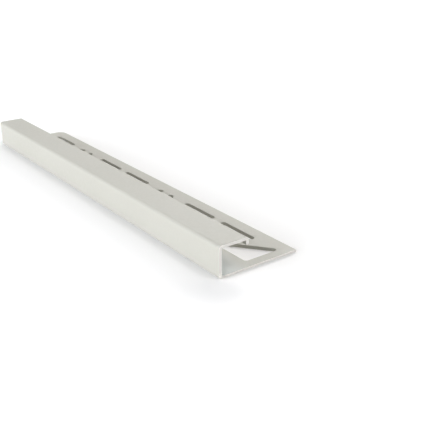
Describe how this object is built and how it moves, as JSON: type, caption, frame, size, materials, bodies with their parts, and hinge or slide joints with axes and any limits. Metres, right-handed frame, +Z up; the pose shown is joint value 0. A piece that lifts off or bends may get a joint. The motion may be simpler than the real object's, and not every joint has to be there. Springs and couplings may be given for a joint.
{
  "type": "tile edge trim",
  "caption": "Straight length of square-edge tile trim: a front wall and top flange with a turned-down lip over a wide flat leg punched with slots and keying holes.",
  "frame": {"origin": "under the middle of the piece, at the centre of its bounding box's bottom, level with the leg's underside", "axes": "+X along the length to the square leg corner's end, +Y from the front face to the leg's free edge, +Z up from the leg's underside to the top flange"},
  "size_m": [0.1554, 0.0282, 0.01],
  "materials": {
    "powder_coat": "satin"
  },
  "bodies": {
    "root": {"trim_profile": "powder_coat"}
  },
  "joints": []
}
